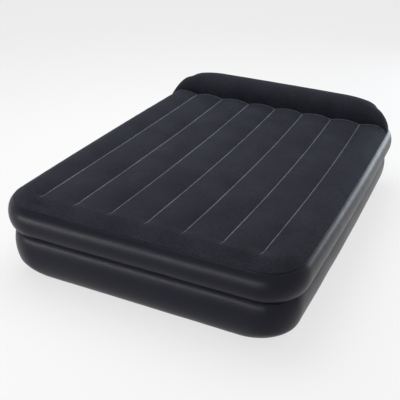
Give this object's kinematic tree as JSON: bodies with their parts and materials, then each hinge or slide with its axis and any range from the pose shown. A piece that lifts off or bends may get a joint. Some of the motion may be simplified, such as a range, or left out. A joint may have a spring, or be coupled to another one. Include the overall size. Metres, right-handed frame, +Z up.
{
  "type": "raised air mattress",
  "caption": "Raised rectangular air bed of two stacked tiers with round corners, a channelled flocked top, a full-width pillow rise and a built-in electric pump in the head-end wall.",
  "frame": {"origin": "on the floor, at the middle of the bed's footprint", "axes": "+Y along the bed to the head end with the pillow, +X across the bed, +Z up"},
  "size_m": [1.52, 2.03, 0.5569],
  "materials": {
    "flocked_top": "short flock, matt",
    "side_vinyl": "smooth satin film",
    "inner_film": "smooth film",
    "pump_plastic": "fine matt texture",
    "grey_plastic": "moulded",
    "rubber": "soft matt",
    "steel": "drawn"
  },
  "bodies": {
    "root": {"top_sheet": "flocked_top", "pillow_shell": "flocked_top", "upper_side_wall": "side_vinyl", "divider_sheet": "inner_film", "lower_side_wall": "side_vinyl", "bottom_sheet": "side_vinyl", "upper_beam_1": "inner_film", "upper_beam_2": "inner_film", "upper_beam_3": "inner_film", "upper_beam_4": "inner_film", "upper_beam_5": "inner_film", "upper_beam_6": "inner_film", "upper_beam_7": "inner_film", "lower_beam_1": "inner_film", "lower_beam_2": "inner_film", "lower_beam_3": "inner_film", "lower_beam_4": "inner_film", "port_collar": "pump_plastic", "face_plate": "pump_plastic", "pump_housing": "pump_plastic", "cord_bay": "pump_plastic", "door_pin": "steel", "cord_gland": "rubber", "switch_frame": "pump_plastic", "rocker_pin": "steel", "valve_tube": "pump_plastic", "fan_scroll": "grey_plastic", "scroll_cover": "grey_plastic", "motor": "steel", "motor_mount": "pump_plastic", "panel_screw_1": "steel", "panel_screw_2": "steel", "panel_screw_3": "steel", "panel_screw_4": "steel"},
    "dial": {"mode_dial": "pump_plastic", "dial_shaft": "pump_plastic", "selector_disc": "grey_plastic"},
    "door": {"cord_door": "pump_plastic"},
    "switch_rocker": {"rocker": "rubber"},
    "cap": {"valve_cap": "rubber"},
    "air_valve_flap": {"valve_flap": "rubber"},
    "pump_outlet_flap": {"outlet_flap": "rubber"},
    "fan": {"impeller": "grey_plastic", "motor_shaft": "steel"}
  },
  "joints": [
    {"name": "dial_turn", "type": "hinge", "parent": "root", "child": "dial", "pos_m": [-0.358, 0.965, 0.143], "axis": [0, 1, 0], "range_deg": [-60, 60]},
    {"name": "door_swing", "type": "hinge", "parent": "root", "child": "door", "pos_m": [-0.2175, 0.9695, 0.125], "axis": [0, 0, -1], "range_deg": [0, 95]},
    {"name": "rocker_tilt", "type": "hinge", "parent": "root", "child": "switch_rocker", "pos_m": [-0.358, 0.964, 0.081], "axis": [1, 0, 0], "range_deg": [-8, 8]},
    {"name": "cap_pull", "type": "slide", "parent": "root", "child": "cap", "axis": [0, 1, 0], "range_m": [0, 0.03]},
    {"name": "valve_flap_swing", "type": "hinge", "parent": "root", "child": "air_valve_flap", "pos_m": [-0.422, 0.83995, 0.164], "axis": [-1, 0, 0], "range_deg": [0, 50]},
    {"name": "outlet_flap_swing", "type": "hinge", "parent": "root", "child": "pump_outlet_flap", "pos_m": [-0.415, 0.84595, 0.114], "axis": [-1, 0, 0], "range_deg": [0, 40]},
    {"name": "fan_spin", "type": "hinge", "parent": "root", "child": "fan", "pos_m": [-0.356, 0.921, 0.125], "axis": [0, 1, 0], "continuous": true}
  ]
}
